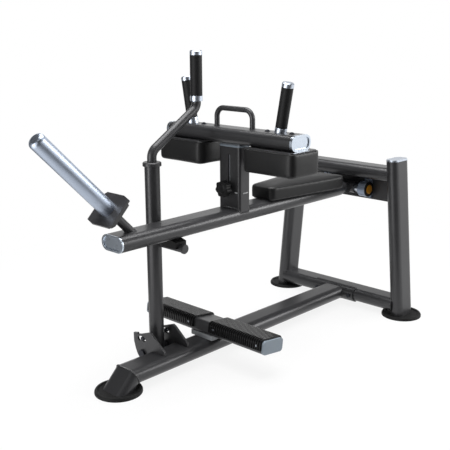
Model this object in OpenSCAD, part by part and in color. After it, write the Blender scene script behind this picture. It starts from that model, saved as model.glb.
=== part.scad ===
// Seated calf raise machine.
// The user sits facing -X: -X is the front with the weight horn, +Z is up.
// The origin is on the floor, under the middle of the overall length.
// Inside the file, x = 0 is the line through the two rear feet; place() moves
// everything to the origin above.

/* [Flat-oval tube] */
// Width of the frame tube
tube_w = 100; // [90:1:110]
// Thickness of the frame tube
tube_t = 50; // [44:1:56]
// Wall of the frame tube
tube_wall = 3; // [2:0.5:5]

/* [Base] */
// Distance from the front foot to the line of the rear feet
wheelbase = 1168; // [1140:1:1200]
// Distance between the two rear feet
track = 568; // [540:1:600]
// Height of the centre line of the base tubes
base_z = 45; // [40:1:52]
// Offset of the rear cross tube ahead of the rear feet
cross_dx = 6; // [0:1:12]
// Angle of the front leg to the floor
front_leg_angle = 45; // [40:1:55]
// Diameter of a rubber foot
foot_d = 150; // [130:1:160]
// Height of the foot's raised rim
foot_h = 11; // [9:0.5:14]
// Height of the foot's floor, on which the tube stands
foot_floor = 7; // [4:0.5:8]
// Width of the foot's raised rim
foot_rim = 6; // [4:0.5:9]

/* [Rear legs] */
// Height of the top of the leg tube
leg_top_z = 600; // [580:1:620]
// Lean of each leg towards the middle of the machine
leg_lean = 5.1; // [4:0.1:6]
// Thickness of the leg's cap
leg_cap_t = 6; // [4:1:10]
// Offset of the upper beam ahead of the rear feet
upper_dx = 1; // [0.5:0.5:4]
// Height of the centre line of the upper beam
upper_z = 547; // [535:1:560]

/* [Pivot] */
// Pivot ahead of the line of the rear feet
pivot_dx = 5; // [0:1:10]
// Height of the pivot, and of the lever's centre line
pivot_z = 474; // [468:1:480]
// Diameter of the shaft
shaft_d = 25; // [20:1:30]
// Running clearance between shaft and bearing, on the radius
shaft_fit = 0.03; // [0.02:0.01:0.08]
// Distance from the shaft's end to the outer face of a bearing block
shaft_inset = 2; // [1:0.5:4]
// Distance from the middle of the machine to the inner face of a bearing block
block_y = 82; // [76:1:86]
// Width of a bearing block along the shaft
block_w = 32; // [28:1:36]
// Diameter of the bearing block's round body
block_d = 59; // [50:1:62]
// Height of the bearing block's foot
block_foot_h = 74; // [72:1:80]
// Thickness of the bearing block's foot
block_foot_t = 11; // [8:1:14]
// Distance from the shaft's axis to the mounting plate
block_drop = 30; // [26:1:32]
// Outer diameter of the bearing
bearing_d = 44; // [40:1:46]
// Diameter of the black seal ring
seal_d = 57; // [49:1:59]
// Thickness of the black seal ring
seal_t = 3.5; // [2.5:0.5:5]
// Diameter of the cover in the seal ring
cover_d = 36; // [32:1:40]
// Thickness of the mounting plate
plate_t = 8; // [6:1:10]
// Height of the plate's lower edge
plate_low_z = 430; // [420:1:435]
// Height of the bearing bolts above and below the shaft
block_bolt_z = 30.5; // [30:0.5:31]
// Size of the bearing bolts
block_bolt_d = 8; // [6:1:10]

/* [Saddle] */
// Length of the saddle bracket along the cross tube
saddle_len = 192; // [170:1:210]
// Thickness of the saddle bracket
saddle_t = 5; // [4:0.5:7]
// Distance of each saddle bolt from the middle
saddle_bolt_y = 78; // [72:1:84]
// Size of the saddle bolts
saddle_bolt_d = 10; // [8:1:12]

/* [Foot bar] */
// Foot bar's centre ahead of the line of the rear feet
bar_dx = 762; // [740:1:780]
// Height of the foot bar's centre
bar_z = 103.5; // [101:0.5:108]
// Width of the foot bar tube
bar_w = 94; // [88:1:106]
// Thickness of the foot bar tube
bar_t = 44; // [42:1:50]
// Corner radius of the foot bar tube
bar_r = 11; // [8:0.5:14]
// Length of the foot bar tube
bar_len = 541; // [500:1:560]
// Tilt of the foot bar, front edge up
bar_tilt = 7; // [4:0.5:8]
// Thickness of the foot bar's end caps
bar_cap_t = 8; // [5:1:10]
// Overhang of the end caps around the tube
bar_cap_lip = 0.5; // [0.5:0.5:3]
// Half of the bare length between the two treads
tread_gap = 35; // [30:1:45]
// Thickness of the tread's sheet
tread_t = 4; // [2:0.2:5]
// Height of the tread's ribs
rib_h = 2.8; // [1:0.1:4]
// Number of ribs on one tread
rib_n = 26; // [18:1:30]
// Diameter of the rivet heads
rivet_d = 7; // [5:0.5:9]
// Distance of the rivets from the tread's ends
rivet_inset = 20; // [14:1:30]
// Height of the rivets above the foot bar's centre
rivet_up = 4; // [-4:1:8]
// Height of the tread's lower edge below the foot bar's centre
tread_drop = 9; // [4:1:14]
// Width of the saddle under the foot bar, across the machine
bar_seat_w = 100; // [90:1:130]
// Length of the saddle under the foot bar
bar_seat_l = 92; // [80:1:98]

/* [Lever] */
// Front end of the lever ahead of the line of the rear feet
lever_front = 1170; // [1150:1:1190]
// Rear end of the lever tube ahead of the line of the rear feet
lever_rear = 63; // [58:1:70]
// Slant of the lever tube's rear end
lever_slant = 32; // [20:1:40]
// Thickness of the lever's end cap
end_cap_t = 5; // [5:1:14]
// Outer diameter of the hub on the shaft
hub_d = 44; // [40:1:48]
// Length of the hub
hub_len = 112; // [104:1:120]
// Distance from the middle to the inner face of a hub cheek
cheek_y = 28; // [25:1:30]
// Thickness of the two cheeks between tube and hub
cheek_t = 8; // [6:1:10]
// Length of the cheeks inside the tube
cheek_in = 60; // [40:1:90]
// Outer diameter of the spacers on the shaft
spacer_d = 32; // [29:1:36]

/* [Column] */
// Column ahead of the line of the rear feet
column_dx = 643; // [630:1:660]
// Width of the column sleeve, across the machine
sleeve_w = 96; // [90:1:99]
// Depth of the column sleeve
sleeve_t = 53; // [50:1:60]
// Corner radius of the column sleeve
sleeve_r = 9.5; // [7:0.5:14]
// Wall of the column sleeve
sleeve_wall = 4; // [3:0.5:5]
// Height of the top of the sleeve tube
sleeve_top_z = 704; // [690:1:706]
// Height of the collar on the sleeve
collar_h = 7; // [4:1:9]
// Overhang of the collar around the sleeve
collar_lip = 0.5; // [0:0.5:3]
// Clearance between inner post and sleeve
post_gap = 1; // [0.6:0.1:1.5]
// Wall of the inner post
post_wall = 3; // [2:0.5:4]
// Height of the lower end of the inner post
post_low_z = 506; // [503:1:520]
// Width of the slot in the sleeve
slot_w = 10; // [9:0.5:12]
// Height of the lower end of the slot
slot_low_z = 548; // [542:1:552]
// Height of the upper end of the slot
slot_top_z = 680; // [674:1:684]
// Height of the clamp knob
knob_z = 567; // [562:1:570]
// Diameter of the knob across its lobes
knob_d = 57; // [44:1:60]
// Thickness of the knob
knob_t = 20; // [16:1:24]
// Length of the knob's neck
knob_neck = 17; // [14:1:24]
// Number of lobes on the knob
knob_lobes = 7; // [5:1:9]
// Diameter of the knob's stud
stud_d = 8; // [6:1:8]

/* [Knee beam] */
// Height of the centre line of the knee beam
beam_z = 741; // [740:1:750]
// Overall length of the knee beam with its caps
beam_len = 565; // [540:1:590]
// Width of the knee beam, along the machine
beam_w = 94; // [88:1:104]
// Radius of the knee beam's corners
beam_r = 22; // [12:1:24]
// Thickness of the beam's end caps
beam_cap_t = 10; // [8:1:14]
// Width of the rim around the recessed panel of a cap
cap_rim = 7.5; // [4:0.5:10]
// Depth of the recess in a cap
cap_recess = 3.5; // [1:0.5:4]
// Distance of each pad's centre from the middle
pad_y = 198; // [188:0.5:208]
// Length of a knee pad, across the machine
pad_len = 216; // [180:1:222]
// Depth of a knee pad, front to back
pad_depth = 146; // [130:1:150]
// Centre of the pads behind the column's centre
pad_dx = 1.5; // [0:0.5:12]
// Height of a knee pad's cushion
pad_h = 80; // [60:1:84]
// Rise of the cushion in its middle
pad_crown = 3; // [2:0.5:6]
// Corner radius of a knee pad
pad_r = 22; // [14:1:34]
// Thickness of the steel plate on each knee pad
pad_plate_t = 3; // [2:0.5:5]
// Inset of the plates from the edge of their cushions
plate_inset = 9; // [5:1:14]
// Distance between the two bolts of a pad
pad_bolt_gap = 100; // [90:1:110]
// Distance of the middle between a pad's two bolts from the machine's middle
pad_bolt_y = 194; // [186:1:200]
// Size of the pad bolts
pad_bolt_d = 8; // [6:1:10]

/* [Handles] */
// Distance of a handle's foot from the middle
handle_y = 198; // [192:1:204]
// Outward lean of the handles
handle_lean = 10.5; // [6:0.5:14]
// Overall height of a handle above the beam
handle_len = 160; // [145:1:180]
// Diameter of the handle tubes
handle_d = 28; // [25:1:30]
// Diameter of the handle's rubber
grip_d = 38; // [35:1:42]
// Length of the handle's rubber
grip_len = 128; // [110:1:135]
// Height of the silver ring under the rubber
ring_h = 17; // [12:1:20]
// Half of the width of the lift handle
lift_y = 80; // [74:1:86]
// Height of the lift handle's bar above the beam
lift_h = 61; // [55:1:70]
// Diameter of the lift handle's rod
lift_d = 18; // [16:1:20]
// Bend radius of the lift handle
lift_r = 30; // [26:1:34]

/* [Seat] */
// Front of the seat ahead of the line of the rear feet
seat_front = 510; // [500:1:520]
// Length of the seat
seat_len = 368; // [345:1:380]
// Width of the seat at its front
seat_w_front = 103; // [96:1:112]
// Width of the seat at its rear
seat_w_rear = 213; // [200:1:224]
// Height of the seat's cushion at its edge
seat_h = 46; // [40:1:54]
// Rise of the cushion in its middle
seat_crown = 5; // [3:0.5:8]
// Thickness of the steel plate under the seat
seat_plate_t = 4; // [3:0.5:6]
// Corner radius of the seat
seat_r = 24; // [18:1:28]

/* [Weight horn] */
// Where the horn's axis leaves the top of the lever, ahead of the rear feet
horn_dx = 1099; // [1090:1:1108]
// Angle of the horn to the floor
horn_angle = 45; // [42:1:50]
// Diameter of the horn, for 50 mm plates
horn_d = 50; // [48:0.5:50]
// Distance along the axis from the lever to the horn's foot
horn_start = 115; // [105:1:140]
// Distance along the axis from the lever to the horn's tip
horn_end = 440; // [420:1:460]
// Radius of the horn's rounded tip
horn_tip_r = 13; // [6:1:20]
// Wall of the horn's pipe
horn_wall = 4; // [3:0.5:6]
// Diameter of the stub that carries the horn
stub_d = 28; // [24:1:34]
// Thickness of the upper stop plate
stop_t = 8; // [6:1:10]
// Thickness of the smaller plate under the stop plate
stop_base_t = 12; // [8:1:16]
// Inset of the smaller plate from the stop plate's edge
stop_base_inset = 8; // [4:1:14]
// Width of the stop plate, across the machine
stop_w = 114; // [104:1:126]
// Height of the stop plate, along its slope
stop_l = 110; // [100:1:122]
// Chamfer of the two small corners of the stop plate
stop_c = 9; // [5:1:14]
// Width of the two long chamfers of the stop plate
stop_long_c = 28; // [20:1:36]

/* [Catch] */
// Catch post ahead of the foot bar's centre
catch_ahead = 176; // [168:1:184]
// Distance of the catch's pivot and post from the middle
catch_y = 80; // [79:0.5:83]
// Height of the catch's pivot
catch_z = 50; // [47:1:52]
// Outer diameter of the catch post
catch_d = 49; // [46:0.5:50]
// Wall of the catch post
catch_wall = 4; // [3:0.5:5]
// Height of the top of the post tube
catch_top_z = 666; // [650:1:680]
// Height of the collar on the post
catch_collar_h = 13; // [9:1:16]
// Diameter of the collar on the post
catch_collar_d = 60; // [56:1:64]
// Diameter of the catch's bent handle tube
catch_rod_d = 30; // [27:1:31]
// Bend radius of the catch handle
catch_bend = 34; // [28:1:36]
// Rise of the slanted run of the handle
catch_slant = 32; // [28:1:36]
// Reach of the handle behind the post
catch_reach = 199; // [190:1:206]
// Height of the lower ring of the catch's grip
catch_grip_z = 855; // [848:1:862]
// Diameter of the catch's grip
catch_grip_d = 40; // [38:1:42]
// Length of the catch's rubber grip
catch_grip_len = 130; // [115:1:140]
// Swing of the catch to its outer stop
catch_swing = 18; // [16:1:19]
// Height of the top of the bracket plates above the pivot
ear_h = 82; // [76:1:88]
// Height of a bracket plate's square end
ear_end = 13; // [6:1:20]
// Thickness of the bracket plates
cheek_plate_t = 8; // [6:1:10]
// Distance between the centres of the two bracket plates
cheek_gap = 102; // [96:1:108]
// Offset of the bracket's middle ahead of the post
cheek_dx = 8; // [4:1:12]
// Diameter of the stop rod
stop_rod_d = 14; // [12:1:15]
// Height of the stop rod above the pivot
stop_rod_z = 51; // [50:1:54]
// Diameter of the pivot bolt
catch_bolt_d = 16; // [14:1:18]
// Outer diameter of the pivot barrel
barrel_d = 30; // [26:1:32]
// Height of the support peg's axis
peg_z = 415; // [406:0.5:415]
// Diameter of the support peg
peg_d = 31; // [28:1:32]
// Offset of the peg behind the post
peg_dx = 14; // [8:1:16]
// Reach of the peg past the middle of the machine
peg_reach = 52; // [48:1:53]
// Depth of the peg's end cap
peg_cap_t = 8; // [6:1:10]
// Chamfer of the peg's end cap, and its overhang around the peg
peg_c = 2; // [1:0.5:3]
// Width of the rest pad under the lever, along the lever
rest_l = 46; // [36:1:54]
// Near end of the rest pad, measured from the middle
rest_near_y = 32; // [20:1:38]
// Far end of the rest pad, measured from the middle
rest_far_y = 36; // [32:1:44]

/* [Fits] */
// Gap left between welded pieces
weld_gap = 0.1; // [0.05:0.05:0.3]
// Gap between a bolt and its hole, on the radius
bolt_gap = 0.25; // [0.1:0.05:0.5]
// Gap between pieces that pass each other
pass_gap = 0.6; // [0.4:0.1:1]
// Gap at rest between the lever and the catch that holds it
rest_gap = 0.3; // [0.2:0.05:0.4]

/* [Hidden] */
$fn = 64;

// Half of the overall length of the machine, ahead of and behind x = 0
horn_reach = horn_dx + (horn_end - horn_tip_r) * cos(horn_angle)
  + (horn_d / 2 - horn_tip_r) * sin(horn_angle) + horn_tip_r;
x_shift = (horn_reach - foot_d / 2) / 2;

// Derived places
round_y = (tube_w - tube_t) / 2;
base_top = base_z + tube_t / 2;
mitre_x = -(wheelbase - (base_z - foot_floor) / tan(front_leg_angle));
saddle_x = -cross_dx - round_y;
saddle_r = tube_t / 2 + 0.3;
plate_x = -pivot_dx + block_drop;
plate_top = upper_z - tube_t / 2;
lever_top = pivot_z + tube_t / 2;
column_x = -column_dx;
post_inset = sleeve_wall + post_gap;
beam_low = beam_z - tube_t / 2;
beam_top = beam_z + tube_t / 2;
pad_top = beam_low - pad_plate_t;
seat_x = -seat_front;
catch_x = -bar_dx - catch_ahead;
catch_mid = catch_x - cheek_dx;
slot_r = stop_rod_d / 2 + pass_gap;
cam_r = norm([catch_y - round_y, pivot_z - catch_z]) - tube_t / 2 - rest_gap;
big = 2000;

// Flat-oval outline, width along x
module oval(w, t) {
  square([w - t, t], center = true);
  for (s = [-1, 1])
    translate([s * (w - t) / 2, 0]) circle(d = t);
}

// Hollow flat-oval tube along +z
module oval_tube(w, t, wall, l) {
  linear_extrude(height = l)
    difference() {
      oval(w, t);
      oval(w - 2 * wall, t - 2 * wall);
    }
}

// The same directions for every tube: along x, along y or along z
module along_x() rotate([0, 90, 0]) rotate([0, 0, 90]) children();
module along_y() rotate([-90, 0, 0]) children();

// Rounded rectangle outline
module rrect(w, t, r) {
  square([w - 2 * r, t], center = true);
  square([w, t - 2 * r], center = true);
  for (a = [-1, 1])
    for (b = [-1, 1])
      translate([a * (w / 2 - r), b * (t / 2 - r)]) circle(r = r);
}

module ring(od, id, h) {
  difference() {
    cylinder(d = od, h = h);
    translate([0, 0, -1]) cylinder(d = id, h = h + 2);
  }
}

// Bolt with its head below z = 0, its shank along +z and a nut above the grip
module bolt(d, grip, nut = true) {
  translate([0, 0, -0.6 * d]) cylinder(d = 1.7 * d, h = 0.6 * d, $fn = 6);
  cylinder(d = d, h = grip + (nut ? d : 0));
  if (nut) translate([0, 0, grip]) cylinder(d = 1.7 * d, h = 0.7 * d, $fn = 6);
}

// Slab between two heights
module slab(z0, z1) translate([-big, -big, z0]) cube([2 * big, 2 * big, z1 - z0]);

// Bend of a round rod in the xz plane, from angle a0 to a0 + a around the origin
module bend(r, d, a0, a) rotate([90, 0, 0]) rotate([0, 0, a0]) rotate_extrude(angle = a) translate([r, 0]) circle(d = d);

// Everything is drawn with x = 0 at the rear feet and shifted here
module place() translate([x_shift, 0, 0]) children();

// Cushion outline: x0 to x1, half widths a and b at its two ends, corner radius r.
// The corner centres stay put and the radius changes with the inset d.
function side_angle(x0, x1, a, b) = atan((b - a) / (x1 - x0));
function corner_y(x0, x1, a, b, r, x) = let (t = side_angle(x0, x1, a, b)) a + (x - x0) * tan(t) - r / cos(t);
function outline(x0, x1, a, b, r, d, n = 9) = let (t = side_angle(x0, x1, a, b), q = r - d) concat(
  [for (i = [0:n]) let (w = 180 - i * (90 - t) / n)
    [x0 + r + q * cos(w), corner_y(x0, x1, a, b, r, x0 + r) + q * sin(w)]],
  [for (i = [0:n]) let (w = 90 + t - i * (90 + t) / n)
    [x1 - r + q * cos(w), corner_y(x0, x1, a, b, r, x1 - r) + q * sin(w)]],
  [for (i = [n:-1:0]) let (w = 90 + t - i * (90 + t) / n)
    [x1 - r + q * cos(w), -corner_y(x0, x1, a, b, r, x1 - r) - q * sin(w)]],
  [for (i = [n:-1:0]) let (w = 180 - i * (90 - t) / n)
    [x0 + r + q * cos(w), -corner_y(x0, x1, a, b, r, x0 + r) - q * sin(w)]]);

// Cushion: flat underside at z = 0, sides drawn in at the seam, rounded shoulder of radius e, crowned top
module cushion(x0, x1, a, b, r, h, crown, e = 11, seam = 1.5) {
  c = (x0 + x1) / 2;
  sides = [for (i = [0:4]) [seam * (1 - sin(22.5 * i)), 1, (h - e) * i / 4]];
  turn = [for (i = [1:6]) [e * (1 - cos(15 * i)), 1, h - e + e * sin(15 * i)]];
  top = [for (i = [1:5]) let (k = 1 - i / 6) [e, k, h + crown * (1 - k * k)]];
  rings = [for (p = concat(sides, turn, top)) [for (q = outline(x0, x1, a, b, r, p[0])) [c + (q[0] - c) * p[1], q[1] * p[1], p[2]]]];
  m = len(rings);
  n = len(rings[0]);
  walls = [for (i = [0:m - 2]) for (j = [0:n - 1]) for (f = [0, 1]) let (k = (j + 1) % n)
    f == 0 ? [i * n + j, (i + 1) * n + k, i * n + k] : [i * n + j, (i + 1) * n + j, (i + 1) * n + k]];
  low = [for (j = [0:n - 1]) [(j + 1) % n, m * n, j]];
  high = [for (j = [0:n - 1]) [(m - 1) * n + j, m * n + 1, (m - 1) * n + (j + 1) % n]];
  polyhedron(points = concat([for (p = rings) for (q = p) q], [[c, 0, 0], [c, 0, h + crown]]),
    faces = concat(walls, low, high));
}

// Base and frame
module foot_profile() {
  polygon([[0, 0], [foot_d / 2, 0], [foot_d / 2, foot_floor - 1], [foot_d / 2 - 3, foot_h],
    [foot_d / 2 - 3 - foot_rim, foot_h], [foot_d / 2 - 6 - foot_rim, foot_floor], [0, foot_floor]]);
}
module rubber_feet() color([0.08, 0.08, 0.08])
  for (p = [[-wheelbase, 0], [0, -track / 2], [0, track / 2]])
    translate([p[0], p[1], 0]) rotate_extrude() foot_profile();

// Half-space beyond the mitre of spine and front leg
module past_mitre() translate([mitre_x, 0, base_z]) rotate([0, -front_leg_angle / 2, 0])
  translate([-400, -200, -200]) cube(400);
module base_spine_tube() color([0.25, 0.25, 0.26])
  difference() {
    translate([mitre_x - 60, 0, base_z]) along_x() oval_tube(tube_w, tube_t, tube_wall, -mitre_x + 60 + saddle_x);
    past_mitre();
    translate([saddle_x, -saddle_len, base_z]) along_y()
      cylinder(r = saddle_r + saddle_t + weld_gap, h = 2 * saddle_len);
  }
module front_leg_tube() color([0.25, 0.25, 0.26])
  intersection() {
    translate([mitre_x, 0, base_z]) rotate([0, -front_leg_angle, 0]) rotate([0, 0, 180]) translate([-60, 0, 0])
      along_x() oval_tube(tube_w, tube_t, tube_wall, 200);
    past_mitre();
    slab(foot_floor, base_z + 60);
  }

// One rear leg's solid shape; grow widens it for the pieces that are fitted to it
module leg_shape(side, grow = 0) translate([0, side * track / 2, foot_floor]) rotate([side * leg_lean, 0, 0])
  translate([0, 0, -40]) linear_extrude(height = leg_top_z + 120) oval(tube_w + 2 * grow, tube_t + 2 * grow);
module leg(side) color([0.25, 0.25, 0.26])
  intersection() {
    translate([0, side * track / 2, foot_floor]) rotate([side * leg_lean, 0, 0])
      translate([0, 0, -40]) oval_tube(tube_w, tube_t, tube_wall, leg_top_z + 120);
    slab(foot_floor, leg_top_z);
  }
module rear_leg_left() leg(-1);
module rear_leg_right() leg(1);
module rear_leg_caps() color([0.75, 0.77, 0.8])
  for (s = [-1, 1])
    intersection() {
      leg_shape(s);
      slab(leg_top_z, leg_top_z + leg_cap_t);
    }

// Distance of a leg's axis from the middle at height z
function leg_y(z) = track / 2 - (z - foot_floor) * tan(leg_lean);
module between_legs(x, z) color([0.25, 0.25, 0.26])
  difference() {
    translate([x, -leg_y(z) + tube_t / 4, z]) along_y() oval_tube(tube_w, tube_t, tube_wall, 2 * leg_y(z) - tube_t / 2);
    leg_shape(-1, weld_gap);
    leg_shape(1, weld_gap);
    children();
  }
module lower_cross_tube() between_legs(-cross_dx, base_z)
  for (s = [-1, 1]) translate([saddle_x - tube_t, s * saddle_bolt_y, base_z]) rotate([0, 90, 0])
    cylinder(r = saddle_bolt_d / 2 + bolt_gap, h = tube_t);
module upper_cross_beam() between_legs(-upper_dx, upper_z);
module bearing_bolt_places() for (s = [-1, 1]) for (z = [-1, 1])
  translate([plate_x, s * (block_y + block_w / 2), pivot_z + z * block_bolt_z]) rotate([0, 90, 0]) children();
module pivot_plate() color([0.23, 0.23, 0.24])
  difference() {
    translate([plate_x, -track / 2, plate_low_z]) cube([plate_t, track, plate_top - plate_low_z]);
    leg_shape(-1, weld_gap);
    leg_shape(1, weld_gap);
    for (s = [-1, 1])
      translate([plate_x - 1, s > 0 ? leg_y(pivot_z) : -leg_y(pivot_z) - track, 0]) cube([plate_t + 2, track, big]);
    bearing_bolt_places() translate([0, 0, -1]) cylinder(r = block_bolt_d / 2 + bolt_gap, h = plate_t + 2);
  }
module saddle_bracket() color([0.3, 0.3, 0.32])
  difference() {
    translate([saddle_x, -saddle_len / 2, base_z]) along_y()
      ring(2 * (saddle_r + saddle_t), 2 * saddle_r, saddle_len);
    translate([saddle_x, -big, -big]) cube(2 * big);
    for (s = [-1, 1]) translate([saddle_x - 2 * tube_t, s * saddle_bolt_y, base_z]) rotate([0, 90, 0])
      cylinder(r = saddle_bolt_d / 2 + bolt_gap, h = 2 * tube_t);
  }
module saddle_bolts() color([0.6, 0.62, 0.66])
  for (s = [-1, 1]) translate([saddle_x - saddle_r - saddle_t, s * saddle_bolt_y, base_z]) rotate([0, 90, 0])
    bolt(saddle_bolt_d, saddle_t + 0.3 + tube_wall + 12, nut = false);

// Foot bar
module at_bar() translate([-bar_dx, 0, bar_z]) rotate([0, bar_tilt, 0]) children();
module bar_section(grow) rrect(bar_w + 2 * grow, bar_t + 2 * grow, bar_r + grow);
module foot_bar_tube() color([0.25, 0.25, 0.26])
  at_bar() translate([0, -bar_len / 2, 0]) along_y()
    linear_extrude(height = bar_len) difference() {
      bar_section(0);
      bar_section(-tube_wall);
    }
module foot_bar_saddle() color([0.72, 0.74, 0.77])
  difference() {
    translate([-bar_dx - bar_seat_l / 2, -bar_seat_w / 2, base_top]) cube([bar_seat_l, bar_seat_w, bar_z - base_top]);
    at_bar() translate([-big, -big, -bar_t / 2]) cube(2 * big);
  }
module foot_bar_end_caps() color([0.6, 0.65, 0.72])
  for (s = [-1, 1])
    at_bar() translate([0, s * bar_len / 2 - (s < 0 ? bar_cap_t : 0), 0]) along_y()
      linear_extrude(height = bar_cap_t) bar_section(bar_cap_lip);
tread_len = bar_len / 2 - tread_gap;
rib_pitch = tread_len / rib_n;
module rivet_places() for (y = [rivet_inset + 4, tread_len - rivet_inset])
  translate([-bar_w / 2, tread_gap + y, rivet_up]) rotate([0, -90, 0]) children();
module tread(side) color([0.2, 0.2, 0.21])
  at_bar() mirror([0, side < 0 ? 1 : 0, 0])
    difference() {
      union() {
        translate([0, tread_gap, 0]) along_y() linear_extrude(height = tread_len) bar_section(tread_t);
        for (i = [0:rib_n - 1])
          translate([0, tread_gap + (i + 0.25) * rib_pitch, 0]) along_y()
            linear_extrude(height = rib_pitch / 2) bar_section(tread_t + rib_h);
      }
      translate([0, tread_gap - 1, 0]) along_y() linear_extrude(height = tread_len + 2) bar_section(weld_gap);
      translate([-big, -big, -big - tread_drop]) cube([2 * big, 2 * big, big]);
      rivet_places() cylinder(d = 3.2 + 2 * bolt_gap, h = 30);
      rivet_places() translate([0, 0, tread_t]) cylinder(d = rivet_d + 1.5, h = 30);
    }
module foot_tread_left() tread(-1);
module foot_tread_right() tread(1);
module tread_rivets() color([0.75, 0.77, 0.8])
  for (m = [0, 1])
    at_bar() mirror([0, m, 0]) rivet_places() {
      translate([0, 0, weld_gap]) cylinder(d = 3.2, h = tread_t);
      translate([0, 0, tread_t]) cylinder(d = rivet_d, h = 1);
      translate([0, 0, tread_t + 1]) cylinder(d = rivet_d - 2, h = 0.8);
    }

// Pivot
module at_pivot(y) translate([-pivot_dx, y, pivot_z]) along_y() children();
module both_blocks() for (m = [0, 1]) mirror([0, m, 0]) children();
module bearing_blocks() color([0.66, 0.7, 0.76])
  both_blocks() difference() {
    union() {
      intersection() {
        at_pivot(block_y) cylinder(d = block_d, h = block_w);
        translate([plate_x - big, 0, 0]) cube([big, big, big]);
      }
      translate([plate_x - block_foot_t, block_y + 1, pivot_z - block_foot_h / 2]) cube([block_foot_t, block_w - 2, block_foot_h]);
    }
    at_pivot(block_y - 1) cylinder(r = bearing_d / 2 + weld_gap, h = block_w + 2);
    bearing_bolt_places() {
      translate([0, 0, -block_foot_t - 1]) cylinder(r = block_bolt_d / 2 + bolt_gap, h = block_foot_t + 2);
      translate([0, 0, -block_foot_t - block_d / 2]) cylinder(r = 0.85 * block_bolt_d + bolt_gap, h = block_d / 2 - weld_gap);
    }
  }
module bearing_inserts() color([0.8, 0.82, 0.85])
  both_blocks() at_pivot(block_y) ring(bearing_d, shaft_d + 2 * shaft_fit, block_w);
module bearing_seal_rings() color([0.06, 0.06, 0.06])
  both_blocks() at_pivot(block_y + block_w) ring(seal_d, cover_d + 0.4, seal_t);
module bearing_covers() color([0.93, 0.6, 0.12])
  both_blocks() at_pivot(block_y + block_w) {
    cylinder(d = cover_d, h = seal_t + 1.5);
    translate([0, 0, seal_t + 1.5]) cylinder(d1 = cover_d, d2 = cover_d - 6, h = 1.2);
  }
module bearing_bolts() color([0.6, 0.62, 0.66])
  bearing_bolt_places() translate([0, 0, -block_foot_t]) bolt(block_bolt_d, block_foot_t + plate_t);

// Lever
module lever_shape(grow = 0) translate([-big, 0, pivot_z]) along_x() linear_extrude(height = big) oval(tube_w + 2 * grow, tube_t + 2 * grow);
module lever_tube() color([0.25, 0.25, 0.26])
  difference() {
    translate([-lever_front + end_cap_t, 0, pivot_z]) along_x() oval_tube(tube_w, tube_t, tube_wall, lever_front - end_cap_t);
    translate([-lever_rear, 0, pivot_z]) rotate([0, lever_slant, 0]) translate([0, -big / 2, -big / 2]) cube(big);
  }
module lever_end_rim() color([0.78, 0.8, 0.84])
  translate([-lever_front, 0, pivot_z]) along_x() linear_extrude(height = end_cap_t) difference() {
    oval(tube_w, tube_t);
    oval(tube_w - 2 * cap_rim, tube_t - 2 * cap_rim);
  }
module lever_end_panel() color([0.3, 0.31, 0.34])
  translate([-lever_front + cap_recess, 0, pivot_z]) along_x() linear_extrude(height = end_cap_t - cap_recess)
    oval(tube_w - 2 * cap_rim - 2 * weld_gap, tube_t - 2 * cap_rim - 2 * weld_gap);
cheek_h = 2 * (sqrt(pow(tube_t / 2 - tube_wall, 2) - pow(cheek_y + cheek_t - round_y, 2)) - weld_gap);
module lever_hub() color([0.3, 0.3, 0.32])
  difference() {
    union() {
      at_pivot(-hub_len / 2) cylinder(d = hub_d, h = hub_len);
      for (m = [0, 1]) mirror([0, m, 0])
        translate([-lever_rear - cheek_in, cheek_y, pivot_z - cheek_h / 2]) cube([lever_rear + cheek_in - pivot_dx, cheek_t, cheek_h]);
    }
    at_pivot(-hub_len) cylinder(r = shaft_d / 2 + weld_gap, h = 2 * hub_len);
  }
module pivot_spacers() color([0.5, 0.52, 0.55])
  both_blocks() at_pivot(hub_len / 2) ring(spacer_d, shaft_d + 2 * weld_gap, block_y - pass_gap - hub_len / 2);
module pivot_shaft() color([0.75, 0.77, 0.8])
  at_pivot(-block_y - block_w + shaft_inset) cylinder(d = shaft_d, h = 2 * (block_y + block_w - shaft_inset));

// Weight horn
module at_horn() translate([-horn_dx, 0, lever_top]) rotate([0, horn_angle - 90, 0]) children();
module horn_stub() color([0.25, 0.25, 0.26])
  intersection() {
    at_horn() translate([0, 0, -stub_d]) cylinder(d = stub_d, h = horn_start + stub_d + 20);
    slab(lever_top, big);
  }
module stop_outline(inset) {
  a = stop_l / 2 - inset;
  b = stop_w / 2 - inset;
  polygon([[a, b - stop_c], [a, stop_long_c - b], [a - stop_c, -b], [stop_c - a, -b],
    [-a, stop_c - b], [-a, b - stop_long_c], [stop_c - a, b], [a - stop_c, b]]);
}
module stop_layer(z, t, inset) at_horn() translate([0, 0, z]) linear_extrude(height = t) difference() {
  stop_outline(inset);
  circle(d = stub_d + 2 * weld_gap);
}
module horn_stop_base() color([0.28, 0.28, 0.3])
  stop_layer(horn_start - stop_t - stop_base_t, stop_base_t, stop_base_inset);
module horn_stop_plate() color([0.28, 0.28, 0.3]) stop_layer(horn_start - stop_t, stop_t, 0);
module weight_horn() color([0.62, 0.65, 0.7])
  at_horn() difference() {
    union() {
      translate([0, 0, horn_start]) cylinder(d = horn_d, h = horn_end - horn_tip_r - horn_start);
      translate([0, 0, horn_end - horn_tip_r]) cylinder(r = horn_d / 2 - horn_tip_r, h = horn_tip_r);
      translate([0, 0, horn_end - horn_tip_r]) rotate_extrude() intersection() {
        translate([horn_d / 2 - horn_tip_r, 0]) circle(r = horn_tip_r);
        square(horn_d);
      }
    }
    translate([0, 0, horn_start - 1]) cylinder(r = horn_d / 2 - horn_wall, h = horn_end - horn_tip_r - horn_start);
  }

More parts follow.
